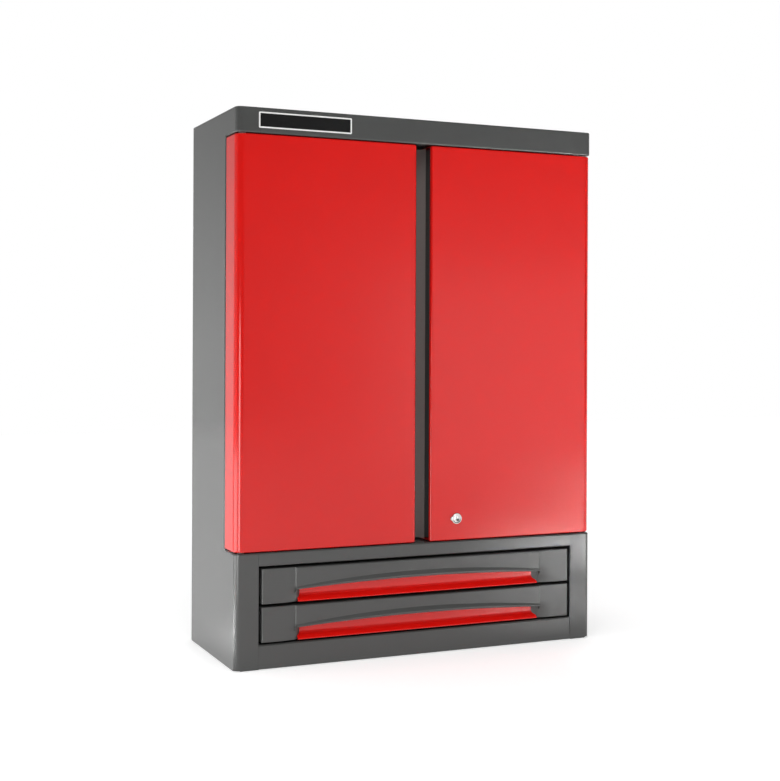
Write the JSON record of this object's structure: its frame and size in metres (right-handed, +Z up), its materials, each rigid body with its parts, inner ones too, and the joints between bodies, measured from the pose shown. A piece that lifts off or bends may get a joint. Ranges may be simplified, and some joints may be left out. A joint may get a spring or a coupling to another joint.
{
  "type": "tool cabinet",
  "caption": "Sheet-steel wall tool cabinet: two hinged doors over shelves, with low full-width drawers with arched pulls below.",
  "frame": {"origin": "centre of the base", "axes": "+X to the right seen from the front, +Y towards the back, +Z up"},
  "size_m": [0.732, 0.2895, 1],
  "materials": {
    "carcass_paint": "satin powder coat, dark grey",
    "zinc_steel": "zinc plated",
    "door_paint": "satin powder coat, red",
    "drawer_paint": "satin powder coat, dark grey",
    "drawer_moulding": "fine satin, dark grey",
    "grip_red": "smooth, red",
    "nylon": "white nylon",
    "magnet": "black",
    "plate_black": "blank, black",
    "lock_chrome": "bright"
  },
  "bodies": {
    "carcass": {"left_side_panel": "carcass_paint", "right_side_panel": "carcass_paint", "left_runner_wall": "zinc_steel", "right_runner_wall": "zinc_steel", "top_panel": "carcass_paint", "header_channel": "carcass_paint", "mid_deck": "carcass_paint", "base_panel": "carcass_paint", "back_panel": "carcass_paint", "wall_bars": "zinc_steel", "centre_post": "carcass_paint", "lower_shelf": "carcass_paint", "upper_shelf": "carcass_paint", "shelf_uprights": "zinc_steel", "shelf_clips": "zinc_steel", "hinge_pins": "zinc_steel", "hinge_nuts": "zinc_steel", "catch_magnets": "magnet", "name_plate": "plate_black", "upper_fixed_rails": "zinc_steel", "lower_fixed_rails": "zinc_steel"},
    "left_door": {"left_door_skin": "door_paint", "left_door_liner": "carcass_paint", "left_door_bushes": "nylon", "left_strike_plates": "zinc_steel"},
    "right_door": {"right_door_skin": "door_paint", "right_door_liner": "carcass_paint", "right_door_bushes": "nylon", "right_strike_plates": "zinc_steel", "lock_housing": "lock_chrome", "lock_nut": "zinc_steel"},
    "lock": {"lock_plug": "lock_chrome", "lock_cam": "zinc_steel", "cam_screw": "zinc_steel"},
    "lower_slides": {"lower_middle_rails": "zinc_steel"},
    "lower_drawer": {"lower_drawer_box": "drawer_paint", "lower_drawer_front": "drawer_moulding", "lower_grip_insert": "grip_red", "lower_drawer_screws": "zinc_steel", "lower_drawer_rails": "zinc_steel"},
    "upper_slides": {"upper_middle_rails": "zinc_steel"},
    "upper_drawer": {"upper_drawer_box": "drawer_paint", "upper_drawer_front": "drawer_moulding", "upper_grip_insert": "grip_red", "upper_drawer_screws": "zinc_steel", "upper_drawer_rails": "zinc_steel"}
  },
  "joints": [
    {"name": "left_door_hinge", "type": "hinge", "parent": "carcass", "child": "left_door", "pos_m": [-0.351, -0.126, 0.211], "axis": [0, 0, -1], "range_deg": [0, 110]},
    {"name": "right_door_hinge", "type": "hinge", "parent": "carcass", "child": "right_door", "pos_m": [0.351, -0.126, 0.211], "axis": [0, 0, 1], "range_deg": [0, 110]},
    {"name": "lock_turn", "type": "hinge", "parent": "right_door", "child": "lock", "pos_m": [0.0705, -0.141, 0.25], "axis": [0, 1, 0], "range_deg": [0, 90]},
    {"name": "lower_drawer_travel", "type": "slide", "parent": "carcass", "child": "lower_drawer", "axis": [0, -1, 0], "range_m": [0, 0.195]},
    {"name": "lower_middle_travel", "type": "slide", "parent": "carcass", "child": "lower_slides", "axis": [0, -1, 0], "range_m": [0, 0.0975]},
    {"name": "upper_drawer_travel", "type": "slide", "parent": "carcass", "child": "upper_drawer", "axis": [0, -1, 0], "range_m": [0, 0.195]},
    {"name": "upper_middle_travel", "type": "slide", "parent": "carcass", "child": "upper_slides", "axis": [0, -1, 0], "range_m": [0, 0.0975]}
  ],
  "couplings": [
    {"joint": "lower_middle_travel", "follows": "lower_drawer_travel", "ratio": 0.5},
    {"joint": "upper_middle_travel", "follows": "upper_drawer_travel", "ratio": 0.5}
  ]
}
